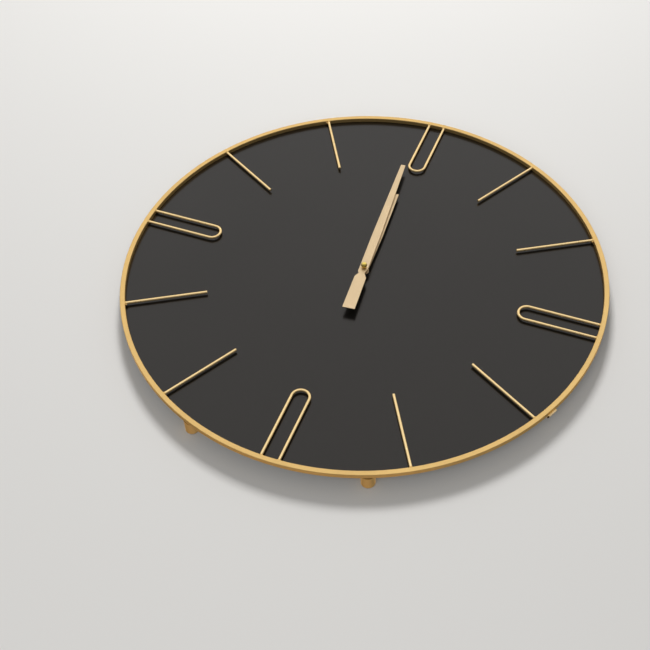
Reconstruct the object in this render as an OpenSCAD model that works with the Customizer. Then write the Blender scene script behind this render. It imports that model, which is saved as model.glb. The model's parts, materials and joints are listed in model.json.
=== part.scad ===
// Round wall clock: a dark dial sheet behind a slim square-bar hoop, wire hour
// marks welded inside the hoop, and two flat hands on a quartz movement.
// As seen from the front, X points to 3 o'clock and Z to 12 o'clock.
// The face looks along -Y and the wall is the plane y = 0.
// The origin is where the wall screw rests, at the top of the hanger's slot.

/* [Rim and dial] */
// Outer diameter of the rim
rim_d = 600; // [560:1:640]
// Width and depth of the rim's square bar
rim_bar = 6; // [6:0.5:7]
// Chamfer along the bar's edges
rim_edge = 0.4; // [0.2:0.1:0.8]
// Distance from the wall to the rim's front face
stand_off = 26; // [26:0.5:32]
// Thickness of the dial sheet
dial_t = 1; // [0.8:0.1:1.5]
// Step from the rim's outer edge in to the dial's edge
dial_step = 1; // [0.5:0.1:1.5]
// Number of screws that hold the dial to the rim
rim_screws = 8; // [4:1:12]

/* [Hour marks] */
// Diameter of the marks' wire
wire_d = 3.5; // [2:0.1:4]
// Depth of the wires' centre behind the rim's front face
wire_depth = 2.4; // [2:0.1:3.5]
// Distance from the dial's centre to a straight mark's tip
bar_tip = 194.4; // [150:0.1:240]
// Distance from the dial's centre to a loop's outermost wire centre
loop_tip = 197; // [150:0.1:240]
// Spacing of a loop's two legs, centre to centre
loop_w = 21; // [14:0.5:40]

/* [Hands] */
// Thickness of both hands
hand_t = 1; // [0.6:0.1:1.2]
// Width of a hand along its parallel part
hand_w = 10.8; // [8.5:0.1:14]
// Width of a hand at its tip
hand_tip_w = 6; // [3:0.1:8]
// Length of the parallel part, up from the pivot
hand_straight = 60; // [30:1:90]
// Length of the minute hand from pivot to tip
minute_len = 196; // [160:0.5:240]
// Length of the minute hand's counterweight from the pivot
minute_tail = 69.5; // [40:0.5:90]
// Length of the hour hand from pivot to tip
hour_len = 142; // [100:0.5:180]
// Height of the hour hand's centre plane in front of the rim
hour_lift = 0.9; // [0.9:0.1:3]
// Distance between the two hands' centre planes
hand_gap = 3.4; // [3.4:0.1:5]
// Angle of the minute hand, clockwise from 12
minute_angle = -4.6; // [-180:0.1:180]
// Angle of the hour hand, clockwise from 12
hour_angle = -2.7; // [-180:0.1:180]
// Diameter of the ball-shaped cap nut
cap_d = 7.5; // [6:0.1:10]

/* [Feet and hanger] */
// Diameter of a stand-off foot
foot_d = 16; // [14:0.5:18]
// Distance from the dial's centre to a foot's centre
foot_reach = 293; // [260:0.5:294]
// Angle of each foot from 6 o'clock
foot_angle = 21; // [10:1:60]
// Thickness of a foot's rubber pad
pad_t = 1.5; // [1:0.1:3]
// Height of the hanger's seat above the dial's centre
hook_rise = 232; // [120:1:240]
// Thickness of the hanger's sheet
strap_t = 1.5; // [1:0.1:2]
// Diameter of the hole that a screw's head enters
keyhole_d = 10; // [8:0.1:12]
// Width of the slot that a screw's shank rests in
slot_w = 5; // [4:0.1:6]

/* [Movement] */
// Side of the square movement case
case_w = 56; // [56:0.1:58]
// Depth of the movement case
case_h = 16; // [16:0.1:17]
// Thickness of the case's side walls
case_wall = 1.3; // [1:0.1:1.4]
// Diameter of the battery
cell_d = 14.2; // [13.8:0.1:14.4]
// Length of the battery with its terminal
cell_len = 50.5; // [49.5:0.1:50.5]

/* [Gears] */
// Module of the gears between the hands
hand_module = 0.45; // [0.45:0.01:0.46]
// Share of the pitch that a tooth and its mate fill
tooth_fill = 0.8; // [0.7:0.01:0.84]

/* [Hidden] */
$fn = 96;
GOLD = "#d6a860";
PALE_GOLD = "#e0c496";
BLACK = "#2a2928";
STEEL = "#b4b6ba";
BRASS = "#c9a24a";
WHITE = "#ecebe6";

BAR_HOURS = [1, 2, 4, 5, 7, 8, 10, 11];
LOOP_HOURS = [12, 3, 6, 9];
SIDES = [["left", -1], ["right", 1]];

// Rim and dial planes
rim_r = rim_d / 2;
rim_in = rim_r - rim_bar;
front_y = -stand_off;
dial_front = front_y + rim_bar;
dial_back = dial_front + dial_t;
wire_y = front_y + wire_depth;
screw_r = 1.25;
screw_reach = rim_r - rim_bar / 2 - 0.5;
screw_grip = 3.6;

// Butt joint in the rim, clockwise from 12, and the weld run beside it
seam_angle = 117.7;
seam_gap = 1.2;
weld_arc = 2.9;
weld_bite = 0.7;
weld_out = 1.9;
weld_deep = 1.4;
weld_front = dial_front - 0.5;

// Hands: planes and the parts that carry them
hour_y = front_y - hour_lift;
minute_y = hour_y - hand_gap;
arbor_r = 1.6;
tube_r = 2.55;
thread_r = 1.2;
cap_y = minute_y - hand_t / 2 - 0.93 * cap_d / 2;
hour_bore = 3.4;
minute_bore = 2.6;
collet_h = 2;
tube_proud = 0.1;
eye_r = 6.6;
eye_drop = 3;
hub_corner = 2.5;
neck_half = 3.3;
neck_drop = 10;
shoulder_half = 7.2;
shoulder_drop = 17.5;
tail_half = 7.7;

// Hanger
strap_back = -1.5;
strap_w = 54;
flange_w = 18;
strap_up = 10;
strap_down = 24;
keyhole_drop = 10;
stud_r = 2;
strap_stud_x = strap_w / 2 + 10;

// Movement: depth is counted from the case's front wall towards the wall
gasket_t = 1;
case_y = dial_back + gasket_t;
front_wall = 1.5;
cover_t = 1.5;
bay_h = cell_d + 0.6;
half_case = case_w / 2;
in_half = half_case - case_wall;
bay_top = bay_h - in_half;
divider = 1.3;
room_low = bay_top + divider;
cell_depth = 1.4 + cell_d / 2;
cell_z = bay_top - bay_h / 2;
plate_at = 12;
plate_t = 0.8;
plate_half = 25;
plate_low = -9;
plate_top = 21.2;
posts = [[-23.5, 18.5], [23.5, 18.5], [-23.5, -7], [23.5, -7]];
bush_r = 4;
bush_tip = 4;
pivot_r = 0.4;
play = 0.06;
board_at = 8.6;
coil_at = 10.2;
coil_z = 24;
cell_tip = in_half - 0.5;
spring_r = 0.3;

// Gears: teeth of each wheel and pinion
cannon_z = 10;
minute_z = 30;
minute_pinion_z = 8;
hour_z = 32;
knob_z = 10;
centre_z = 64;
third_z = 60;
fourth_z = 40;
step_z = 48;
leaf_z = 8;
fine_module = 0.2;
mid_module = 0.25;
pressure = 20;

// Directions between gear centres, counted anticlockwise from 3 o'clock
minute_dir = 150;
third_dir = 30;
fourth_dir = 75;
step_dir = 150;
rotor_dir = 100;

// Gear centres in the dial's plane
function spot(from, reach, angle) = from + reach * [cos(angle), sin(angle)];
function spread(m, za, zb) = m * (za + zb) / 2;
minute_at = spot([0, 0], spread(hand_module, cannon_z, minute_z), minute_dir);
knob_at = spot(minute_at, spread(hand_module, minute_z, knob_z), minute_dir);
third_at = spot([0, 0], spread(mid_module, centre_z, leaf_z), third_dir);
fourth_at = spot(third_at, spread(fine_module, third_z, leaf_z), fourth_dir);
step_at = spot(fourth_at, spread(mid_module, fourth_z, leaf_z), step_dir);
rotor_at = spot(step_at, spread(fine_module, step_z, leaf_z), rotor_dir);

// Angle that puts gear B in mesh with gear A, which stands at angle_a
function mesh(dir, za, angle_a, zb) =
    dir + 180 - (0.5 - (dir - angle_a) * za / 360) * 360 / zb;
minute_turn = mesh(minute_dir, cannon_z, 0, minute_z);
knob_turn = mesh(minute_dir, minute_z, minute_turn, knob_z);
hour_turn = mesh(minute_dir + 180, minute_pinion_z, 0, hour_z);
third_turn = mesh(third_dir, centre_z, 0, leaf_z);
fourth_turn = mesh(fourth_dir, third_z, 0, leaf_z);
step_turn = mesh(step_dir, fourth_z, 0, leaf_z);
rotor_turn = mesh(rotor_dir, step_z, 0, leaf_z);

// ---- Helpers ----

// Puts children at the dial's centre
module at_dial() translate([0, 0, -hook_rise]) children();

// Gives a flat outline a depth from y0 to y1; the outline is seen from the front
module slab(y0, y1) translate([0, y1, 0]) rotate([90, 0, 0]) linear_extrude(y1 - y0) children();

// Turned solid around the Y axis from points [radius, y]
module turned(points) rotate([90, 0, 0]) rotate_extrude() polygon([for (p = points) [p[0], -p[1]]]);

// Round bar along Y
module rod(r, y0, y1) slab(y0, y1) circle(r);

// Ring along Y
module tube(r_out, r_in, y0, y1) slab(y0, y1) difference() { circle(r_out); circle(r_in); }

// Moves a child to a place in the dial's plane
module place(p) translate([p[0], 0, p[1]]) children();

// Puts a child at an angle clockwise from 12
module at_angle(a) rotate([0, a, 0]) children();

// Square with round corners, centred
module rounded(w, h, r) {
    square([w - 2 * r, h], center = true);
    square([w, h - 2 * r], center = true);
    for (x = [-1, 1], y = [-1, 1]) translate([x * (w / 2 - r), y * (h / 2 - r)]) circle(r);
}

// Involute of angle a, in degrees
function involute(a) = tan(a) * 180 / PI - a;

// Half of a tooth's angle at radius r
function tooth_half(z, m, r) =
    let (base = m * z / 2 * cos(pressure), a = r > base ? acos(base / r) : 0)
    tooth_fill * 90 / z + involute(pressure) - involute(a);

// Points of an involute gear with z teeth of module m
function gear_points(z, m) =
    let (root = m * (z / 2 - 1.25), tip = m * (z / 2 + 0.9), base = m * z / 2 * cos(pressure),
         low = max(root, base), radii = [root, low + (tip - low) / 3, low + 2 * (tip - low) / 3, tip])
    [for (i = [0:z - 1]) each concat(
        [for (k = [0:3]) let (a = i * 360 / z - tooth_half(z, m, radii[k]))
            radii[k] * [cos(a), sin(a)]],
        [for (k = [3:-1:0]) let (a = i * 360 / z + tooth_half(z, m, radii[k]))
            radii[k] * [cos(a), sin(a)]])];

// Gear that fills the depth from d0 to d1 in the movement, turned by angle a
module gear(z, m, a, d0, d1) slab(case_y + d0, case_y + d1) rotate(a) polygon(gear_points(z, m));

// ---- Rim, marks and dial ----

// Hoop of square bar whose ends meet in a butt joint, with a weld run beside it
module rim_ring() color(GOLD) at_dial() {
    difference() {
        turned([[rim_in + rim_edge, front_y], [rim_r - rim_edge, front_y],
                [rim_r, front_y + rim_edge], [rim_r, dial_front - rim_edge],
                [rim_r - rim_edge, dial_front], [rim_in + rim_edge, dial_front],
                [rim_in, dial_front - rim_edge], [rim_in, front_y + rim_edge]], $fn = 360);
        for (i = [0:rim_screws - 1]) at_angle(i * 360 / rim_screws)
            place([0, screw_reach]) rod(screw_r + 0.02, dial_front - screw_grip - 0.4, dial_front + 1);
        at_angle(seam_angle) place([0, rim_r])
            slab(front_y + rim_bar / 2, dial_front + 1) square([seam_gap, 2.4], center = true);
    }
    at_angle(seam_angle - weld_arc - seam_gap / 4) translate([0, weld_front + weld_deep, 0])
        rotate([90, 0, 0]) rotate([0, 0, 90 - weld_arc]) rotate_extrude(angle = weld_arc, $fn = 360)
            translate([rim_r - weld_bite, 0]) square([weld_bite + weld_out, weld_deep]);
}

// Straight mark from its tip to the rim's inner face
module hour_bar(hour) color(GOLD) at_dial() intersection() {
    at_angle(hour * 30) translate([0, wire_y, bar_tip]) cylinder(d = wire_d, h = rim_in);
    rod(rim_in, front_y, dial_front, $fn = 360);
}

// Bent wire with two legs on the rim and a half-round end towards the centre
module hour_loop(hour) color(GOLD) at_dial() intersection() {
    at_angle(hour * 30) translate([0, wire_y, loop_tip + loop_w / 2]) {
        for (side = [-1, 1]) translate([side * loop_w / 2, 0, 0]) cylinder(d = wire_d, h = rim_in);
        rotate([90, 0, 0]) rotate([0, 0, 180])
            rotate_extrude(angle = 180) translate([loop_w / 2, 0]) circle(d = wire_d);
    }
    rod(rim_in, front_y, dial_front, $fn = 360);
}

module dial_disc() color(BLACK) at_dial() slab(dial_front, dial_back) difference() {
    circle(rim_r - dial_step, $fn = 360);
    circle(bush_r + 0.2);
    for (i = [0:rim_screws - 1]) rotate(i * 360 / rim_screws)
        translate([0, screw_reach]) circle(screw_r + 0.1);
}

// Pan-head screws from behind through the dial into the rim
module rim_screws() color(STEEL) at_dial()
    for (i = [0:rim_screws - 1]) at_angle(i * 360 / rim_screws) place([0, screw_reach])
        difference() {
            turned([[0, dial_front - screw_grip], [screw_r, dial_front - screw_grip],
                    [screw_r, dial_back], [2.25, dial_back], [2.25, dial_back + 0.9],
                    [1.8, dial_back + 1.5], [0, dial_back + 1.5]]);
            for (a = [45, -45]) slab(dial_back + 0.8, dial_back + 2)
                rotate(a) square([2.4, 0.5], center = true);
        }

// ---- Feet and hanger ----

function foot_spot(side) = foot_reach * [side * sin(foot_angle), -cos(foot_angle)];
function strap_stud(side) = [side * strap_stud_x, hook_rise - 7];

// Studs on the back of the dial for the feet and the hanger
module weld_studs() color(STEEL) at_dial() for (side = SIDES) {
    place(foot_spot(side[1])) rod(stud_r, dial_back, dial_back + 10);
    place(strap_stud(side[1])) rod(stud_r, dial_back, dial_back + 7);
}

module foot(side) color(GOLD) at_dial() place(foot_spot(side)) difference() {
    turned([[0, dial_back], [foot_d / 2, dial_back], [foot_d / 2, -pad_t - 0.6],
            [foot_d / 2 - 0.6, -pad_t], [0, -pad_t]]);
    rod(stud_r + 0.03, dial_back - 1, dial_back + 10.5);
}

module foot_pad(side) color("#1c1c1c") at_dial() place(foot_spot(side))
    turned([[0, -pad_t], [foot_d / 2 - 1, -pad_t], [foot_d / 2 - 1, -0.4],
            [foot_d / 2 - 1.4, 0], [0, 0]]);

// Hat-shaped strap with a keyhole in its web
module hanger_strap() color(STEEL) {
    high = strap_up + strap_down;
    mid = (strap_up - strap_down) / 2;
    difference() {
        translate([-strap_w / 2, strap_back - strap_t, -strap_down]) cube([strap_w, strap_t, high]);
        slab(strap_back - 3, strap_back + 1) {
            translate([0, -keyhole_drop]) circle(d = keyhole_d);
            translate([-slot_w / 2, -keyhole_drop]) square([slot_w, keyhole_drop]);
            circle(d = slot_w);
        }
    }
    for (side = [-1, 1]) {
        translate([side * (strap_w - strap_t) / 2, (dial_back + strap_back) / 2, mid])
            cube([strap_t, strap_back - dial_back, high], center = true);
        difference() {
            translate([side * (strap_w + flange_w - strap_t) / 2, dial_back + strap_t / 2, mid])
                cube([flange_w + strap_t, strap_t, high], center = true);
            place([side * strap_stud_x, -7]) rod(stud_r + 0.2, dial_back - 1, dial_back + 3);
        }
    }
}

module hanger_nuts() color(STEEL) at_dial() for (side = [-1, 1]) place(strap_stud(side))
    slab(dial_back + strap_t, dial_back + strap_t + 3.2) difference() {
        circle(d = 7 / cos(30), $fn = 6);
        circle(stud_r + 0.03);
    }

// ---- Movement ----

module case_outline() rounded(case_w, case_w, 4);

// Cuts everything above the battery bay's divider
module gear_room_outline() intersection() {
    rounded(2 * in_half, 2 * in_half, 2.7);
    translate([-in_half, room_low]) square([2 * in_half, in_half - room_low]);
}

module movement_case() color(BLACK) at_dial() {
    difference() {
        slab(case_y, case_y + case_h) case_outline();
        slab(case_y + front_wall, case_y + case_h + 1) gear_room_outline();
        slab(case_y + case_h - cover_t, case_y + case_h + 1) translate([-half_case, room_low])
            square([case_w, case_w]);
        slab(case_y + 1.2, case_y + case_h + 1) translate([-in_half, -in_half])
            square([2 * in_half, bay_h]);
        rod(bush_r + 0.63, case_y - 1, case_y + 3);
        for (p = [minute_at, third_at, fourth_at, step_at, rotor_at])
            place(p) rod(pivot_r + play, case_y + 0.9, case_y + 2);
        place(knob_at) rod(1 + play, case_y + 0.9, case_y + 2);
    }
    for (p = posts) place(p) difference() {
        rod(1.8, case_y + front_wall, case_y + plate_at);
        rod(0.72, case_y + plate_at - 4.5, case_y + plate_at + 1);
    }
}

module movement_cover() color(BLACK) at_dial()
    slab(case_y + case_h - cover_t, case_y + case_h) difference() {
        intersection() {
            case_outline();
            translate([-half_case, room_low + 0.05]) square([case_w, case_w]);
        }
        translate(knob_at) circle(6);
    }

module dial_gasket() color("#3a3a3a") at_dial() slab(dial_back, case_y) difference() {
    rounded(40, 40, 6);
    circle(7.2);
}

// Brass bushing that the nut clamps to the dial
module threaded_bushing() color(BRASS) at_dial() difference() {
    turned([[0, dial_front - bush_tip], [bush_r - 0.5, dial_front - bush_tip],
            [bush_r, dial_front - bush_tip + 0.5], [bush_r, dial_back],
            [6.5, dial_back], [6.5, case_y], [bush_r + 0.6, case_y],
            [bush_r + 0.6, case_y + front_wall], [0, case_y + front_wall]]);
    rod(tube_r + play, dial_front - bush_tip - 1, case_y + 3);
}

module bushing_washer() color(BLACK) at_dial() tube(6.8, bush_r + 0.1, dial_front - 0.4, dial_front);

module bushing_nut() color(BLACK) at_dial() slab(dial_front - 2.9, dial_front - 0.4) difference() {
    circle(d = 11 / cos(30), $fn = 6);
    circle(bush_r + 0.02);
}

// Plate that carries the rear pivots
module train_plate() color(WHITE) at_dial() slab(case_y + plate_at, case_y + plate_at + plate_t)
    difference() {
        translate([-plate_half, plate_low]) square([2 * plate_half, plate_top - plate_low]);
        circle(0.6 + play);
        for (p = [minute_at, third_at, fourth_at, step_at, rotor_at])
            translate(p) circle(pivot_r + play);
        translate(knob_at) circle(1 + play);
        for (p = posts) translate(p) circle(0.8);
    }

module train_screws() color(STEEL) at_dial() for (p = posts) place(p)
    turned([[0, case_y + plate_at - 4], [0.7, case_y + plate_at - 4], [0.7, case_y + plate_at + plate_t],
            [1.6, case_y + plate_at + plate_t], [1.6, case_y + plate_at + plate_t + 0.9],
            [0, case_y + plate_at + plate_t + 0.9]]);

module circuit_board() color("#2f6b3c") at_dial() slab(case_y + board_at, case_y + board_at + 0.8)
    translate([-20.5, 12.5]) square([17, 7]);

module timer_chip() color("#141414") at_dial() place([-8, 16])
    rod(2.2, case_y + board_at - 0.7, case_y + board_at);

module quartz_crystal() color(STEEL) at_dial()
    translate([-19.5, case_y + board_at - 1, 16]) rotate([0, 90, 0]) cylinder(r = 1, h = 6);

module coil() color("#b4633a") at_dial() difference() {
    translate([-11, case_y + coil_at, coil_z]) rotate([0, 90, 0]) cylinder(r = 2.4, h = 20);
    translate([-12, case_y + coil_at - 0.45, coil_z - 1.25]) cube([22, 0.9, 2.5]);
}

// Soft-iron core and pole plate around the rotor
module stator() color(STEEL) at_dial() {
    translate([-16, case_y + coil_at - 0.4, coil_z - 1.2]) cube([30, 0.8, 2.4]);
    slab(case_y + coil_at + 0.4, case_y + coil_at + 1.2) difference() {
        union() {
            translate([-16, 16.6]) square([30, 4.4]);
            for (x = [-16, 10]) translate([x, 16.6]) square([4, 8.6]);
        }
        translate(rotor_at) circle(2.3);
    }
}

// Round arbor in the movement between two depths
module arbor(p, r, d0, d1) place(p) rod(r, case_y + d0, case_y + d1);

module rotor() color("#4a4a4e") at_dial() {
    arbor(rotor_at, pivot_r, 0.95, 12.75);
    arbor(rotor_at, 1.8, 10.3, 11.6);
    place(rotor_at) gear(leaf_z, fine_module, rotor_turn, 9, 10);
}

module step_wheel() color(WHITE) at_dial() {
    arbor(step_at, pivot_r, 0.95, 12.75);
    place(step_at) {
        gear(step_z, fine_module, 0, 9.2, 9.8);
        gear(leaf_z, mid_module, step_turn, 7.8, 9.2);
    }
}

module fourth_wheel() color(WHITE) at_dial() {
    arbor(fourth_at, pivot_r, 0.95, 12.75);
    place(fourth_at) {
        gear(fourth_z, mid_module, 0, 8, 8.6);
        gear(leaf_z, fine_module, fourth_turn, 6.6, 8);
    }
}

module third_wheel() color(WHITE) at_dial() {
    arbor(third_at, pivot_r, 0.95, 12.75);
    place(third_at) {
        gear(third_z, fine_module, 0, 6.8, 7.4);
        gear(leaf_z, mid_module, third_turn, 5, 6.8);
    }
}

// Wheel that the train turns; it grips the minute arbor through the clutch spring
module centre_wheel() color(WHITE) at_dial() difference() {
    gear(centre_z, mid_module, 0, 5.2, 6);
    rod(1.2 + play, case_y + 5, case_y + 7);
}

module clutch_spring() color(STEEL) at_dial() tube(3.2, 1.21, case_y + 6.05, case_y + 6.35);

module minute_arbor() color(BRASS) at_dial() {
    turned([[0, cap_y], [thread_r, cap_y], [thread_r, minute_y - hand_t / 2 + 0.05],
            [arbor_r, minute_y - hand_t / 2 + 0.05], [arbor_r, case_y + 4.9], [2, case_y + 4.9],
            [2, case_y + 5.1], [1.2, case_y + 5.1], [1.2, case_y + 11.9],
            [0.6, case_y + 11.9], [0.6, case_y + 12.75], [0, case_y + 12.75]]);
    gear(cannon_z, hand_module, 0, 3.4, 4.9);
}

module minute_wheel() color(WHITE) at_dial() {
    arbor(minute_at, pivot_r, 0.95, 12.75);
    place(minute_at) {
        gear(minute_z, hand_module, minute_turn, 3.6, 4.4);
        gear(minute_pinion_z, hand_module, 0, 1.8, 3.6);
    }
}

// Wheel and the tube that carries the hour hand
module hour_wheel() color(WHITE) at_dial() difference() {
    union() {
        gear(hour_z, hand_module, hour_turn, 1.9, 3);
        rod(tube_r, hour_y - hand_t / 2 - tube_proud, case_y + 2.5);
    }
    rod(arbor_r + play, hour_y - hand_t / 2 - tube_proud - 1, case_y + 4);
}

module setting_knob() color(BLACK) at_dial() {
    arbor(knob_at, 1, 0.95, 13.4);
    place(knob_at) gear(knob_z, hand_module, knob_turn, 3.4, 4.9);
    place(knob_at) slab(case_y + 13.2, case_y + 15.6) difference() {
        circle(5.2);
        for (i = [0:23]) rotate(i * 15) translate([5.4, 0]) circle(0.45, $fn = 16);
        square([5.6, 0.9], center = true);
    }
}

// ---- Battery ----

module battery() color("#5b6770") at_dial() translate([0, case_y + cell_depth, cell_z])
    rotate([0, 90, 0]) rotate_extrude() polygon([
        [0, cell_tip - cell_len], [cell_d / 2 - 0.8, cell_tip - cell_len],
        [cell_d / 2, cell_tip - cell_len + 0.8], [cell_d / 2, cell_tip - 2.3],
        [cell_d / 2 - 0.8, cell_tip - 1.5], [2.7, cell_tip - 1.5], [2.7, cell_tip], [0, cell_tip]]);

// Points around a wire of radius wire_r that runs along a cone's helix
function helix_spot(t, turns, r0, r1, len) =
    let (a = t * turns * 360, r = r0 + (r1 - r0) * t) [len * t, r * cos(a), r * sin(a)];
module helix(turns, r0, r1, len, steps) {
    rings = [for (i = [0:steps]) let (t = i / steps, a = t * turns * 360,
             c = helix_spot(t, turns, r0, r1, len), out = [0, cos(a), sin(a)])
        for (k = [0:7]) c + spring_r * (cos(k * 45) * out + sin(k * 45) * [1, 0, 0])];
    polyhedron(rings, concat(
        [[for (k = [7:-1:0]) k]],
        [for (i = [0:steps - 1], k = [0:7]) let (a = i * 8 + k, b = i * 8 + (k + 1) % 8)
            each [[a, b, b + 8], [a, b + 8, a + 8]]],
        [[for (k = [0:7]) steps * 8 + k]]));
}

module battery_spring() color(STEEL) at_dial() {
    translate([-in_half, case_y + cell_depth - 5, cell_z - 5]) cube([0.4, 10, 10]);
    translate([-in_half + 0.6, case_y + cell_depth, cell_z]) helix(2.5, 4.2, 2.6, 1.15, 60);
}

module battery_contact() color(STEEL) at_dial()
    translate([in_half - 0.4, case_y + cell_depth - 5, cell_z - 5]) cube([0.4, 10, 10]);

// ---- Hands ----

function mirrored(points) = [for (i = [len(points) - 1:-1:0]) [-points[i][0], points[i][1]]];

// Flat hand from the right half of its outline, listed from tip to tail; a child adds to the plate
module hand_plate(half, y, bore) difference() {
    union() {
        slab(y - hand_t / 2, y + hand_t / 2) polygon(concat(half, mirrored(half)));
        children();
    }
    rod(bore, y - hand_t, y + hand_t);
}

// Hour hand, with a round eye around its bore
module hour_hand() color(PALE_GOLD) at_dial() at_angle(hour_angle)
    hand_plate([[hand_tip_w / 2, hour_len], [hand_w / 2, hand_straight],
                [hand_w / 2, -eye_drop]], hour_y, hour_bore)
        place([0, -eye_drop]) rod(eye_r, hour_y - hand_t / 2, hour_y + hand_t / 2);

// Minute hand, with a broad counterweight below a narrow neck
module minute_hand() color(PALE_GOLD) at_dial() at_angle(minute_angle)
    hand_plate([[hand_tip_w / 2, minute_len], [hand_w / 2, hand_straight],
                [hand_w / 2, -hub_corner], [neck_half, -neck_drop],
                [shoulder_half, -shoulder_drop], [tail_half, -minute_tail]], minute_y, minute_bore);

// Brass ring riveted into a hand, with its body behind the hand
module collet(y, r_body, r_neck, r_bore) difference() {
    turned([[0, y - hand_t / 2], [r_neck, y - hand_t / 2], [r_neck, y + hand_t / 2],
            [r_body, y + hand_t / 2], [r_body, y + hand_t / 2 + collet_h],
            [0, y + hand_t / 2 + collet_h]]);
    rod(r_bore, y - 5, y + 5);
}

module hour_collet() color(BRASS) at_dial() collet(hour_y, 4.2, hour_bore - 0.02, tube_r + 0.01);

module minute_collet() color(BRASS) at_dial() collet(minute_y, 3.6, minute_bore - 0.02, arbor_r + 0.01);

// Polished ball with a flat seat and a tapped hole
module cap_nut() color("#f2d060") at_dial() difference() {
    translate([0, cap_y, 0]) rotate([90, 0, 0]) sphere(d = cap_d);
    slab(minute_y - hand_t / 2, minute_y + 2) square(2 * cap_d, center = true);
    rod(thread_r + 0.03, cap_y - 0.5, minute_y);
}

// ---- Nodes ----

rim_ring();
for (h = BAR_HOURS) hour_bar(h);
for (h = LOOP_HOURS) hour_loop(h);
dial_disc();
rim_screws();
weld_studs();
for (s = SIDES) foot(s[1]);
for (s = SIDES) foot_pad(s[1]);
hanger_strap();
hanger_nuts();
movement_case();
movement_cover();
dial_gasket();
threaded_bushing();
bushing_washer();
bushing_nut();
train_plate();
train_screws();
circuit_board();
timer_chip();
quartz_crystal();
coil();
stator();
rotor();
step_wheel();
fourth_wheel();
third_wheel();
centre_wheel();
clutch_spring();
minute_arbor();
minute_wheel();
hour_wheel();
setting_knob();
battery();
battery_spring();
battery_contact();
hour_hand();
hour_collet();
minute_hand();
minute_collet();
cap_nut();
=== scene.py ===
"""Looks of the round wall clock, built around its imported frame."""
import json
import math

import bmesh
import bpy
from mathutils import Matrix, Vector, noise


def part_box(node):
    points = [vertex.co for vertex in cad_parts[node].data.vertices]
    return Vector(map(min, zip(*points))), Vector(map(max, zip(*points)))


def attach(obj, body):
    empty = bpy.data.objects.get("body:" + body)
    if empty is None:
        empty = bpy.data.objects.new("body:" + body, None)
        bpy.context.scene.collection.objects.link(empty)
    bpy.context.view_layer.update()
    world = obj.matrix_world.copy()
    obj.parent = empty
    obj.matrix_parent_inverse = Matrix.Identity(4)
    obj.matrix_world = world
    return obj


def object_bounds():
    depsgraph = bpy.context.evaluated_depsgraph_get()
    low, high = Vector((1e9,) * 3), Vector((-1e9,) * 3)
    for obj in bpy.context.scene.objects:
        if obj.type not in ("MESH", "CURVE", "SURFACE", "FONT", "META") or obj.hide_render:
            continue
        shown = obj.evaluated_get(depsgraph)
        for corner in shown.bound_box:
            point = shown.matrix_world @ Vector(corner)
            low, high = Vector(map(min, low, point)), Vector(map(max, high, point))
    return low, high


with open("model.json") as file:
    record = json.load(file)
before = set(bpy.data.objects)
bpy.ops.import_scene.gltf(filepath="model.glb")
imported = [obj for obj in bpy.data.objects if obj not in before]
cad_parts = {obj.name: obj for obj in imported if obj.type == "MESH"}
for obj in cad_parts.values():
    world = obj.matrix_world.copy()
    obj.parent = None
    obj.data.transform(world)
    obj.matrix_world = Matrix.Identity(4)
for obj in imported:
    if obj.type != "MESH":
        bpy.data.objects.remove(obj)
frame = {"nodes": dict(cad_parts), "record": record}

cad_box = [list(corner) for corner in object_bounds()]

# ---------------------------------------------------------------- places, from the frame

MM = 0.001
rim_low, rim_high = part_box("rim_ring")
RIM_R = (rim_high.z - rim_low.z) / 2
CENTRE = Vector((0, 0, (rim_low.z + rim_high.z) / 2))
FRONT_Y = rim_low.y
RIM_BACK_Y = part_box("dial_disc")[0].y
RIM_IN = RIM_R - (RIM_BACK_Y - FRONT_Y)
WIRE_R = (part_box("hour_bar_1")[1].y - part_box("hour_bar_1")[0].y) / 2
WIRE_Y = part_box("hour_bar_1")[0].y + WIRE_R
LEG_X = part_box("hour_loop_12")[1].x - WIRE_R


def on_dial(angle, reach, y):
    """Point at a clockwise angle from 12, in degrees, and a distance from the dial's centre."""
    a = math.radians(angle)
    return CENTRE + Vector((reach * math.sin(a), y, reach * math.cos(a)))


# ---------------------------------------------------------------- material tools


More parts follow.
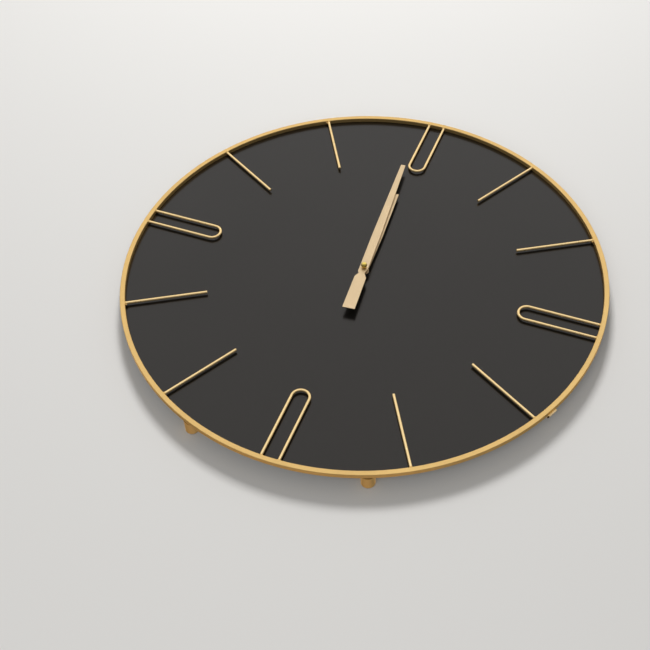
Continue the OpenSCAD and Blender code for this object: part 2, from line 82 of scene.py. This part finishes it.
class Shader:
    """A Principled material whose colour, roughness and relief come from nodes."""

    def __init__(self, name, **constants):
        self.material = bpy.data.materials.new(name)
        self.material.use_nodes = True
        self.tree = self.material.node_tree
        self.tree.nodes.clear()
        self.out = self.tree.nodes.new("ShaderNodeOutputMaterial")
        self.skin = self.tree.nodes.new("ShaderNodeBsdfPrincipled")
        self.link(self.skin.outputs[0], self.out.inputs["Surface"])
        for key, value in constants.items():
            self.skin.inputs[key.replace("_", " ")].default_value = value
        coords = self.tree.nodes.new("ShaderNodeTexCoord")
        self.place = coords.outputs["Object"]

    def link(self, a, b):
        self.tree.links.new(a, b)

    def stretched(self, scale, turn=(0, 0, 0)):
        """Object coordinates turned by degrees, then scaled along each axis."""
        node = self.tree.nodes.new("ShaderNodeMapping")
        node.inputs["Rotation"].default_value = [math.radians(t) for t in turn]
        node.inputs["Scale"].default_value = scale
        self.link(self.place, node.inputs["Vector"])
        return node.outputs["Vector"]

    def grain(self, scale, detail=3.0, rough=0.6, where=None):
        """Noise between 0 and 1."""
        node = self.tree.nodes.new("ShaderNodeTexNoise")
        node.inputs["Scale"].default_value = scale
        node.inputs["Detail"].default_value = detail
        node.inputs["Roughness"].default_value = rough
        self.link(where or self.place, node.inputs["Vector"])
        return node.outputs["Fac"]

    def cells(self, scale, where=None):
        """Distance to the nearest of scattered points."""
        node = self.tree.nodes.new("ShaderNodeTexVoronoi")
        node.inputs["Scale"].default_value = scale
        self.link(where or self.place, node.inputs["Vector"])
        return node.outputs["Distance"]

    def levels(self, value, low, high, to_low=0.0, to_high=1.0):
        """Stretches a value's range from low..high to to_low..to_high."""
        node = self.tree.nodes.new("ShaderNodeMapRange")
        ends = {"From Min": low, "From Max": high, "To Min": to_low, "To Max": to_high}
        for key, number in ends.items():
            node.inputs[key].default_value = number
        self.link(value, node.inputs["Value"])
        return node.outputs["Result"]

    def cloud(self, scale, detail=4, most=1.0):
        """Soft patches between 0 and most."""
        return self.levels(self.grain(scale, detail), 0.3, 0.7, 0.0, most)

    def math(self, kind, a, b):
        """One operation on two values or numbers."""
        node = self.tree.nodes.new("ShaderNodeMath")
        node.operation = kind
        for socket, value in zip(node.inputs, (a, b)):
            if isinstance(value, (int, float)):
                socket.default_value = value
            else:
                self.link(value, socket)
        return node.outputs[0]

    def mix(self, share, a, b):
        """Colour a where share is 0 and colour b where it is 1."""
        node = self.tree.nodes.new("ShaderNodeMix")
        node.data_type = "RGBA"
        self.link(share, node.inputs["Factor"])
        for socket, value in ((node.inputs[6], a), (node.inputs[7], b)):
            if isinstance(value, (tuple, list)):
                socket.default_value = (*value, 1)
            else:
                self.link(value, socket)
        return node.outputs[2]

    def tint(self, body, mask, share, colour):
        """Body colour with a share of another colour where the mask is 1."""
        return self.mix(self.math("MULTIPLY", mask, share), body, colour)

    def patch(self, where, radii):
        """1 inside an ellipsoid around a place and 0 outside it, with a narrow soft edge."""
        outside, inside = 1.05, 0.9
        node = self.tree.nodes.new("ShaderNodeVectorMath")
        node.operation = "SUBTRACT"
        self.link(self.place, node.inputs[0])
        node.inputs[1].default_value = where
        scaled = self.tree.nodes.new("ShaderNodeVectorMath")
        scaled.operation = "DIVIDE"
        self.link(node.outputs[0], scaled.inputs[0])
        scaled.inputs[1].default_value = radii
        size = self.tree.nodes.new("ShaderNodeVectorMath")
        size.operation = "LENGTH"
        self.link(scaled.outputs[0], size.inputs[0])
        return self.levels(size.outputs["Value"], outside, inside)

    def worn_edges(self, reach):
        """1 on the outer edges and 0 on flat faces."""
        flat = 0.5
        node = self.tree.nodes.new("ShaderNodeNewGeometry")
        return self.levels(node.outputs["Pointiness"], flat + reach, flat + 3 * reach)

    def colour(self, value):
        self.link(value, self.skin.inputs["Base Color"])

    def roughness(self, mask, smooth, rough, start=0.25, end=0.75):
        """Roughness that rises from smooth to rough while the mask goes from start to end."""
        self.link(self.levels(mask, start, end, smooth, rough), self.skin.inputs["Roughness"])

    def relief(self, height, depth, strength=1.0, below=None):
        """Bump of a depth in metres."""
        node = self.tree.nodes.new("ShaderNodeBump")
        node.inputs["Strength"].default_value = strength
        node.inputs["Distance"].default_value = depth
        self.link(height, node.inputs["Height"])
        if below is not None:
            self.link(below, node.inputs["Normal"])
        self.link(node.outputs["Normal"], self.skin.inputs["Normal"])
        return node.outputs["Normal"]


def tone(colour, factor):
    """Colour with its channels times a factor, each at most 1."""
    return tuple(min(1.0, c * factor) for c in colour)


# ---------------------------------------------------------------- materials

# The rim's butt joint: a painted highlight, a pale patch over the run of weld beside it, and a
# painted shadow, a near-black spot standing for the dark gap at the run's end
SEAM_ANGLE = 117.7
SEAM_Y = RIM_BACK_Y + 0.2 * MM
WELD_HIGHLIGHT_SPOT = on_dial(SEAM_ANGLE - 1.75, RIM_R + 0.6 * MM, SEAM_Y)
WELD_HIGHLIGHT_RADII = (12 * MM, 1.2 * MM, 12 * MM)
WELD_HIGHLIGHT_COLOUR = (1.0, 0.87, 0.55)
JOINT_SHADOW_SPOT = on_dial(SEAM_ANGLE - 0.5, RIM_R + 1.4 * MM, SEAM_Y)
JOINT_SHADOW_RADII = (1.5 * MM, 1.6 * MM, 1.5 * MM)
JOINT_SHADOW_COLOUR = (0.02, 0.012, 0.006)


def gold_paint(name, base, metallic, rough, seam_highlight_and_shadow=False):
    """Satin gold lacquer on steel: fine metal flake, soft orange peel, edges rubbed paler."""
    rubbed = (0.93, 0.76, 0.46)
    s = Shader(name, Metallic=metallic, Specular_Tint=(1.0, 0.62, 0.28, 1))
    flake = s.levels(s.cells(2600), 0.1, 0.75)
    body = s.mix(s.cloud(22), tone(base, 0.93), tone(base, 1.06))
    body = s.tint(body, flake, 0.22, tone(base, 1.22))
    body = s.tint(body, s.worn_edges(0.02), 0.12, rubbed)
    if seam_highlight_and_shadow:
        # Painted highlight: the weld run is painted pale so that it looks brightly lit
        body = s.mix(s.patch(WELD_HIGHLIGHT_SPOT, WELD_HIGHLIGHT_RADII), body, WELD_HIGHLIGHT_COLOUR)
        # Painted shadow: a near-black spot stands in for the shaded gap at the joint
        body = s.mix(s.patch(JOINT_SHADOW_SPOT, JOINT_SHADOW_RADII), body, JOINT_SHADOW_COLOUR)
    s.colour(body)
    s.roughness(s.grain(180, 5), rough, rough + 0.12)
    peel = s.relief(s.grain(900, 2), 0.00005, 0.35)
    s.relief(flake, 0.00002, 0.25, below=peel)
    return s.material


def dial_black():
    """Black powder coat: a very fine grain and a soft, slightly uneven sheen."""
    base, dust_colour = (0.0066, 0.0061, 0.0054), (0.16, 0.155, 0.15)
    s = Shader("dial_black", Metallic=0.0, Specular_IOR_Level=0.435,
               Specular_Tint=(1.0, 0.955, 0.92, 1))
    cloud = s.cloud(7)
    dust = s.levels(s.grain(1500, 1), 0.72, 0.82)
    body = s.mix(cloud, tone(base, 0.9), tone(base, 1.12))
    s.colour(s.tint(body, dust, 0.05, dust_colour))
    s.roughness(s.grain(5, 5), 0.20, 0.24)
    s.relief(s.grain(2200, 2), 0.00003, 0.35)
    return s.material


def hand_gold():
    """Anodised champagne sheet, brushed along the hand."""
    base, rubbed = (0.66, 0.49, 0.29), (0.95, 0.84, 0.62)
    s = Shader("hand_gold", Metallic=0.9, Specular_Tint=(1.0, 0.8, 0.6, 1))
    lines = s.grain(60, 6, 0.7, s.stretched((46, 46, 1)))
    body = s.mix(s.cloud(35, 3), tone(base, 0.95), tone(base, 1.05))
    body = s.tint(body, lines, 0.25, tone(base, 0.82))
    s.colour(s.tint(body, s.worn_edges(0.02), 0.12, rubbed))
    s.roughness(lines, 0.34, 0.48)
    s.relief(lines, 0.00003, 0.4)
    return s.material


def metal(name, base, rough, streak=(1, 1, 1)):
    """Bare metal with streaks, dull brown patches and paler edges."""
    dirt = (0.25, 0.2, 0.14)
    s = Shader(name, Metallic=1.0)
    lines = s.grain(90, 5, 0.65, s.stretched(streak))
    patch = s.levels(s.grain(160, 4), 0.35, 0.7)
    body = s.mix(lines, tone(base, 0.82), tone(base, 1.08))
    body = s.tint(body, patch, 0.18, dirt)
    s.colour(s.tint(body, s.worn_edges(0.03), 0.5, tone(base, 1.25)))
    s.roughness(lines, rough, rough + 0.16, 0.2, 0.8)
    s.relief(lines, 0.00003, 0.35)
    return s.material


def plastic(name, base, rough, grain_scale=1500.0, depth=0.00005):
    """Moulded plastic with a fine spark-eroded grain and scuffed edges."""
    s = Shader(name, Metallic=0.0)
    body = s.mix(s.cloud(70), tone(base, 0.88), tone(base, 1.12))
    s.colour(s.tint(body, s.worn_edges(0.03), 0.35, tone(base, 1.9)))
    s.roughness(s.grain(400, 4), rough, rough + 0.14)
    s.relief(s.cells(grain_scale), depth, 0.4)
    return s.material


def battery_skin():
    """Shrink sleeve in two plain tones around a cell with bare metal ends."""
    dark, light, metal_end, worn = ((0.035, 0.06, 0.10), (0.36, 0.38, 0.41), (0.62, 0.62, 0.63),
                                    (0.10, 0.11, 0.12))
    band_end, button_end, cap_end = 14 * MM, 1.6 * MM, 0.4 * MM
    low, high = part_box("battery")
    s = Shader("battery_sleeve")
    split = s.tree.nodes.new("ShaderNodeSeparateXYZ")
    s.link(s.place, split.inputs[0])
    along = split.outputs["X"]
    band = s.levels(along, high.x - band_end - 0.2 * MM, high.x - band_end)
    bare = s.math("MAXIMUM", s.levels(along, high.x - button_end - 0.1 * MM, high.x - button_end),
                  s.levels(along, low.x + cap_end + 0.1 * MM, low.x + cap_end))
    cloud = s.cloud(120, most=0.25)
    body = s.mix(band, dark, light)
    body = s.mix(cloud, body, worn)
    s.colour(s.mix(bare, body, metal_end))
    s.link(bare, s.skin.inputs["Metallic"])
    s.roughness(s.grain(500, 4), 0.20, 0.34)
    s.relief(s.grain(260, 3), 0.00004, 0.3)
    return s.material


MAKERS = {
    "gold_paint": lambda: gold_paint("gold_paint", (0.715, 0.478, 0.178), 0.82, 0.40, seam_highlight_and_shadow=True),
    # Paler copy of the gold paint for the hour wires: its lighter base colour is a painted
    # highlight
    "gold_wire_painted_highlight": lambda: gold_paint("gold_wire_painted_highlight", (0.92, 0.67, 0.33), 0.90, 0.24),
    "dial_black": dial_black,
    "hand_gold": hand_gold,
    "polished_brass": lambda: metal("polished_brass", (1.0, 0.72, 0.17), 0.20),
    "brass": lambda: metal("brass", (0.76, 0.56, 0.25), 0.26),
    "steel": lambda: metal("steel", (0.60, 0.61, 0.63), 0.30, (1, 1, 6)),
    "black_metal": lambda: metal("black_metal", (0.035, 0.035, 0.037), 0.42),
    "case_plastic": lambda: plastic("case_plastic", (0.030, 0.030, 0.032), 0.46),
    "gear_plastic": lambda: plastic("gear_plastic", (0.78, 0.77, 0.72), 0.34),
    "rubber": lambda: plastic("rubber", (0.022, 0.022, 0.022), 0.70, 900.0, 0.0001),
    "board": lambda: plastic("board", (0.03, 0.19, 0.08), 0.30),
    "copper": lambda: metal("copper", (0.62, 0.25, 0.12), 0.28, (30, 1, 1)),
    "magnet": lambda: metal("magnet", (0.12, 0.12, 0.13), 0.5),
    "battery_sleeve": battery_skin,
}
materials = {slot: make() for slot, make in MAKERS.items()}


def dress_nodes():
    """Gives each CAD node the material of its record slot, but the hour wires a paler copy of the
    gold paint, a painted highlight that makes them look more brightly lit.
    """
    for row in frame["record"]["subparts"]:
        obj = frame["nodes"][row["node"]]
        obj.data.materials.clear()
        wire = row["node"].startswith(("hour_bar", "hour_loop"))
        obj.data.materials.append(materials["gold_wire_painted_highlight" if wire else row["material_slot"]])


dress_nodes()

# ---------------------------------------------------------------- extra pieces

FRAME_BODY = "clock_frame"
FRONT = Vector((0, -1, 0))
BEAD_SIDES = 20
BEAD_STEPS = 8
NUB_SIDES = {2: 1, 8: -1, 11: -1}  # hours with a drop of weld, and 1 where it is clockwise
THREAD_PITCH = 0.5 * MM
BUSHING_R = 4.0 * MM
STUD_R = 2.0 * MM
NUT_HALF = 3.5  # mm, half of the stud nut's width across its flats
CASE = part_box("movement_case")
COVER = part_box("movement_cover")
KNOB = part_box("setting_knob")
BACK_Y = COVER[1].y


def add_piece(name, bm, slot, body=FRAME_BODY, edge=0.0):
    """Turns a bmesh into a piece with its material, slot and body; edge is its rounding's width."""
    bmesh.ops.recalc_face_normals(bm, faces=bm.faces)
    mesh = bpy.data.meshes.new(name)
    bm.to_mesh(mesh)
    bm.free()
    mesh.shade_smooth()
    mesh.set_sharp_from_angle(angle=math.radians(40))
    mesh.materials.append(materials[slot])
    obj = bpy.data.objects.new(name, mesh)
    bpy.context.scene.collection.objects.link(obj)
    if edge:
        bevel = obj.modifiers.new("edge", "BEVEL")
        bevel.width = edge
        bevel.segments = 2
    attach(obj, body)
    return obj


def skin_rings(bm, rings):
    """Closed skin over rings of points, capped at both ends."""
    rows = [[bm.verts.new(point) for point in ring] for ring in rings]
    for near, far in zip(rows, rows[1:]):
        for i, vert in enumerate(near):
            j = (i + 1) % len(near)
            bm.faces.new((vert, near[j], far[j], far[i]))
    bm.faces.new(rows[0][::-1])
    bm.faces.new(rows[-1])


def prism(bm, outline, y0, y1):
    """Outline of (x, z) from the dial's centre, in mm, given a depth along Y."""
    rings = [[CENTRE + Vector((x * MM, y, z * MM)) for x, z in outline] for y in (y0, y1)]
    skin_rings(bm, rings)


def box_outline(x0, z0, x1, z1):
    """Rectangle between two corners."""
    return [(x0, z0), (x1, z0), (x1, z1), (x0, z1)]


def weld_bead(bm, root, outward, seed):
    """Lumpy fillet around a wire's root, which is on its axis at the rim's inner face."""
    sunk, length, skin = 0.3, 3.0, 0.1 * MM  # sunk and length in mm
    side_flare, front_flare, fade = 1.3, 0.5, 2.2
    lumpiness, lump_scale, seed_step = 0.6, 1.4, 7.3
    across = outward.cross(FRONT)
    rings = []
    for i in range(BEAD_STEPS + 1):
        t = i / BEAD_STEPS
        ring = []
        for k in range(BEAD_SIDES):
            a = math.tau * k / BEAD_SIDES
            cos, sin = math.cos(a), math.sin(a)
            way = cos * across + sin * FRONT
            spot = Vector((lump_scale * cos, lump_scale * sin, 2 * t + seed_step * seed))
            lump = 1 + lumpiness * noise.noise(spot)
            flare = (side_flare * abs(cos) + front_flare * abs(sin)) * MM
            reach = WIRE_R - skin + (1 - t) ** fade * lump * flare
            ring.append(root + (sunk - length * t) * MM * outward + reach * way)
        rings.append(ring)
    skin_rings(bm, rings)


def weld_nub(bm, root, outward, side, seed):
    """Drop of weld metal in the corner beside a wire; side is 1 for clockwise of it, or -1."""
    inset, radius = 0.9 * MM, 1.5 * MM
    lumpiness, lump_scale = 0.35, 1.3
    across = outward.cross(FRONT)
    centre = root - inset * outward + side * (WIRE_R + inset) * across
    rings = []
    for i in range(1, BEAD_STEPS):
        b = math.pi * i / BEAD_STEPS
        ring = []
        for k in range(BEAD_SIDES):
            a = math.tau * k / BEAD_SIDES
            way = Vector((math.sin(b) * math.cos(a), math.sin(b) * math.sin(a), math.cos(b)))
            lump = noise.noise(lump_scale * way + Vector((0, 0, seed)))
            size = radius * (1 + lumpiness * lump)
            ring.append(centre + size * (way.x * across + way.y * outward + way.z * FRONT))
        rings.append(ring)
    skin_rings(bm, rings)


def make_welds():
    """Fillets at every wire's root, and a drop of weld metal beside three of them."""
    bm = bmesh.new()
    seed = 0
    for hour in range(1, 13):
        outward = on_dial(hour * 30, 1, 0) - CENTRE
        across = outward.cross(FRONT)
        for x in ((-LEG_X, LEG_X) if hour % 3 == 0 else (0,)):
            seed += 1
            reach = math.sqrt(RIM_IN ** 2 - x ** 2)
            root = CENTRE + Vector((0, WIRE_Y, 0)) + reach * outward + x * across
            weld_bead(bm, root, outward, seed)
            if hour in NUB_SIDES:
                weld_nub(bm, root, outward, NUB_SIDES[hour], seed)
    add_piece("wire_welds", bm, "gold_paint")


def make_thread(name, spot, radius, y0, y1, slot):
    """Helical ridge around a rod along Y, from y0 to y1."""
    sides = 24
    root, crest_rise, half_width = 0.05 * MM, 0.22 * THREAD_PITCH, 0.42 * THREAD_PITCH
    bm = bmesh.new()
    steps = int((y1 - y0) / THREAD_PITCH * sides)
    rings = []
    for i in range(steps + 1):
        a = math.tau * i / sides
        y = y0 + (y1 - y0) * i / steps
        way = Vector((math.cos(a), 0, math.sin(a)))
        foot = spot + (radius - root) * way
        crest = spot + (radius + crest_rise) * way
        rings.append([foot + Vector((0, y - half_width, 0)), crest + Vector((0, y, 0)),
                      foot + Vector((0, y + half_width, 0))])
    skin_rings(bm, rings)
    add_piece(name, bm, slot)


def make_threads():
    """Threads that show on the bushing, in front of its nut, and on the hanger's two studs."""
    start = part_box("threaded_bushing")[0].y + 0.6 * MM
    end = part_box("bushing_nut")[0].y
    make_thread("bushing_thread", CENTRE, BUSHING_R, start, end, "brass")
    low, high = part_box("hanger_nuts")
    side_x = (high.x - low.x) / 2 - NUT_HALF / math.cos(math.pi / 6) * MM
    start, end = high.y + 0.1 * MM, high.y + 2.2 * MM
    for name, side in (("left", -1), ("right", 1)):
        spot = Vector((side * side_x, 0, (low.z + high.z) / 2))
        make_thread("stud_thread_" + name, spot, STUD_R, start, end, "steel")


def on_circle(centre, radius, a):
    """Point (x, z) of a circle at an angle in radians, anticlockwise from 3 o'clock."""
    return centre[0] + radius * math.cos(a), centre[1] + radius * math.sin(a)


def arc_outline(centre, inner, outer, start, end):
    """Band of a circle between two angles, anticlockwise from 3 o'clock."""
    steps = 28
    turns = [math.radians(start + (end - start) * i / steps) for i in range(steps + 1)]
    rim = [on_circle(centre, outer, a) for a in turns]
    return rim + [on_circle(centre, inner, a) for a in reversed(turns)]


def arrow_head(centre, radius, angle, size):
    """Triangle on a circle that points anticlockwise."""
    length = 1.7
    a = math.radians(angle)
    out, along = (math.cos(a), math.sin(a)), (-math.sin(a), math.cos(a))
    x, z = on_circle(centre, radius, a)
    return [(x + size * out[0], z + size * out[1]),
            (x + length * size * along[0], z + length * size * along[1]),
            (x - size * out[0], z - size * out[1])]


def make_cover_details():
    """Raised moulding on the movement: a border, grip ribs, turning arrows and polarity signs."""
    inset, battery_inset, wide = 2.2, 1.6, 0.7
    left, right = COVER[0].x / MM + inset, COVER[1].x / MM - inset
    bottom = (COVER[0].z - CENTRE.z) / MM + battery_inset
    top = (COVER[1].z - CENTRE.z) / MM - inset
    knob = ((KNOB[0].x + KNOB[1].x) / 2 / MM, ((KNOB[0].z + KNOB[1].z) / 2 - CENTRE.z) / MM)
    ribs, rib_step, rib_left, rib_right, rib_low, rib_high = 7, 3.2, 1.5, 2.7, 2, 21
    arc_in, arc_out, arc_length, head_size = 7.3, 8.0, 120, 1.1
    sunk, proud, rounding = 0.1 * MM, 0.35 * MM, 0.12 * MM
    low, high = BACK_Y - sunk, BACK_Y + proud
    shapes = {
        "cover_border": [box_outline(left, bottom, right, bottom + wide),
                         box_outline(left, top - wide, right, top),
                         box_outline(left, bottom + wide, left + wide, top - wide),
                         box_outline(right - wide, bottom + wide, right, top - wide)],
        "cover_ribs": [box_outline(rib_left + rib_step * i, rib_low,
                                   rib_right + rib_step * i, rib_high) for i in range(ribs)],
        "knob_arrows": [arc_outline(knob, arc_in, arc_out, start, start + arc_length)
                        for start in (20, 200)]
                       + [arrow_head(knob, 7.65, angle, head_size) for angle in (142, 322)],
        "polarity_signs": [box_outline(16.2, -6.3, 19.8, -5.3), box_outline(17.5, -5.3, 18.5, -4.0),
                           box_outline(17.5, -7.6, 18.5, -6.3),
                           box_outline(-19.8, -6.3, -16.2, -5.3)],
    }
    for name, outlines in shapes.items():
        bm = bmesh.new()
        for outline in outlines:
            prism(bm, outline, low, high)
        add_piece(name, bm, "case_plastic", edge=rounding)


def make_case_clips():
    """Snap hooks on the case's sides that hold the cover."""
    sunk, proud, half, rounding = 0.3, 0.9, 3, 0.15 * MM  # sunk, proud and half in mm
    rows = (2, 16)  # mm above the dial's centre
    bm = bmesh.new()
    slope = [(CASE[1].y - 0.4 * MM, 0.0), (CASE[1].y - 1.4 * MM, proud),
             (CASE[1].y - 3.2 * MM, proud), (CASE[1].y - 3.6 * MM, 0.0)]
    for side, edge_x in ((-1, CASE[0].x), (1, CASE[1].x)):
        for z in rows:
            profile = [(edge_x + side * (out - sunk) * MM, y) for y, out in slope]
            ends = [CENTRE.z + (z + end) * MM for end in (-half, half)]
            skin_rings(bm, [[Vector((x, y, end)) for x, y in profile] for end in ends])
    add_piece("case_clips", bm, "case_plastic", edge=rounding)


make_welds()
make_threads()
make_cover_details()
make_case_clips()

# ---------------------------------------------------------------- stage, light and camera


def stage_material():
    """Matte pale paper that shows only from the clock's side."""
    paper = (0.80, 0.79, 0.77, 1)
    mat = bpy.data.materials.new("pale_wall")
    mat.use_nodes = True
    tree = mat.node_tree
    tree.nodes.clear()
    out = tree.nodes.new("ShaderNodeOutputMaterial")
    pick = tree.nodes.new("ShaderNodeMixShader")
    front = tree.nodes.new("ShaderNodeBsdfDiffuse")
    clear = tree.nodes.new("ShaderNodeBsdfTransparent")
    side = tree.nodes.new("ShaderNodeNewGeometry")
    front.inputs["Color"].default_value = paper
    tree.links.new(side.outputs["Backfacing"], pick.inputs["Fac"])
    tree.links.new(front.outputs[0], pick.inputs[1])
    tree.links.new(clear.outputs[0], pick.inputs[2])
    tree.links.new(pick.outputs[0], out.inputs["Surface"])
    return mat


def make_stage():
    """Wall plane behind the clock, facing it."""
    half = 12.0
    mesh = bpy.data.meshes.new("wall")
    wall_y = cad_box[1][1]
    corners = [(x * half, wall_y, z * half) for x, z in ((-1, -1), (1, -1), (1, 1), (-1, 1))]
    mesh.from_pydata([CENTRE + Vector(corner) for corner in corners], [], [(0, 1, 2, 3)])
    wall = bpy.data.objects.new("wall", mesh)
    bpy.context.scene.collection.objects.link(wall)
    mesh.materials.append(stage_material())
    wall.visible_shadow = False
    wall.visible_glossy = False


def make_light(name, where, side, power, diffuse=True, glossy=True, colour=(1, 1, 1)):
    """Square soft panel aimed at the dial's centre, for matte light, for reflections or both."""
    data = bpy.data.lights.new(name, "AREA")
    data.size = side
    data.energy = power
    data.color = colour
    obj = bpy.data.objects.new(name, data)
    obj.location = CENTRE + Vector(where)
    obj.rotation_euler = (-Vector(where)).to_track_quat("-Z", "Y").to_euler()
    obj.visible_camera = False
    obj.visible_diffuse = diffuse
    obj.visible_glossy = glossy
    bpy.context.scene.collection.objects.link(obj)


def make_world():
    """Even dim fill that looks brighter to the camera than to the clock."""
    fill_strength, backdrop_strength, tint = 0.25, 0.72, (1.0, 0.99, 0.97, 1)
    world = bpy.data.worlds.new("studio")
    world.use_nodes = True
    tree = world.node_tree
    fill = tree.nodes["Background"]
    fill.inputs["Strength"].default_value = fill_strength
    backdrop = tree.nodes.new("ShaderNodeBackground")
    backdrop.inputs["Strength"].default_value = backdrop_strength
    for node in (fill, backdrop):
        node.inputs["Color"].default_value = tint
    ray = tree.nodes.new("ShaderNodeLightPath")
    pick = tree.nodes.new("ShaderNodeMixShader")
    tree.links.new(ray.outputs["Is Camera Ray"], pick.inputs["Fac"])
    tree.links.new(fill.outputs[0], pick.inputs[1])
    tree.links.new(backdrop.outputs[0], pick.inputs[2])
    tree.links.new(pick.outputs[0], tree.nodes["World Output"].inputs["Surface"])
    bpy.context.scene.world = world


def make_lights():
    """Panels with their places from the dial's centre, sides in metres and power in watts."""
    upper_left, warm = (-0.66, -2.05, 1.55), (1.0, 0.60, 0.26)
    make_light("sky", upper_left, 9.0, 215, diffuse=False)
    make_light("panel", upper_left, 3.2, 26, glossy=False)
    make_light("key", (-0.61, -1.96, 1.59), 0.7, 46, glossy=False)
    make_light("low_fill", (0.3, -1.7, -1.9), 1.6, 14, glossy=False)
    make_light("back_sky", (-1.0, 3.4, 2.9), 6.0, 125, diffuse=False)
    make_light("back_card", (0, 3.0, -2.6), 6.0, 24, diffuse=False, colour=warm)
    make_light("back_key", (-1.3, 2.1, 1.4), 2.4, 130, glossy=False)
    make_light("back_fill", (1.1, 2.0, 1.9), 2.4, 60, glossy=False)


def make_camera():
    """Camera below and in front of the dial, with the dial's front direction up in the picture."""
    aim = CENTRE + Vector((0.0321, FRONT_Y, -0.0844))
    turn, rise, roll = (math.radians(angle) for angle in (-69.0, 49.37, 1.07))
    distance, focal_length, sensor_width, shift_x, far = 1.2901, 60.38, 36, -0.0615, 50
    level = math.cos(rise)
    back = Vector((level * math.cos(turn), -math.sin(rise), level * math.sin(turn)))
    right = (-back).cross(FRONT).normalized()
    up = right.cross(-back)
    up_rolled = math.cos(roll) * up + math.sin(roll) * right
    right_rolled = math.cos(roll) * right - math.sin(roll) * up
    data = bpy.data.cameras.new("camera")
    data.sensor_width = sensor_width
    data.lens = focal_length
    data.shift_x = shift_x
    data.clip_end = far
    obj = bpy.data.objects.new("camera", data)
    turned = Matrix((right_rolled, up_rolled, back)).transposed().to_4x4()
    obj.matrix_world = Matrix.Translation(aim + distance * back) @ turned
    bpy.context.scene.collection.objects.link(obj)
    bpy.context.scene.camera = obj


make_stage()
make_world()
make_lights()
make_camera()
bpy.context.scene.view_settings.view_transform = "Standard"
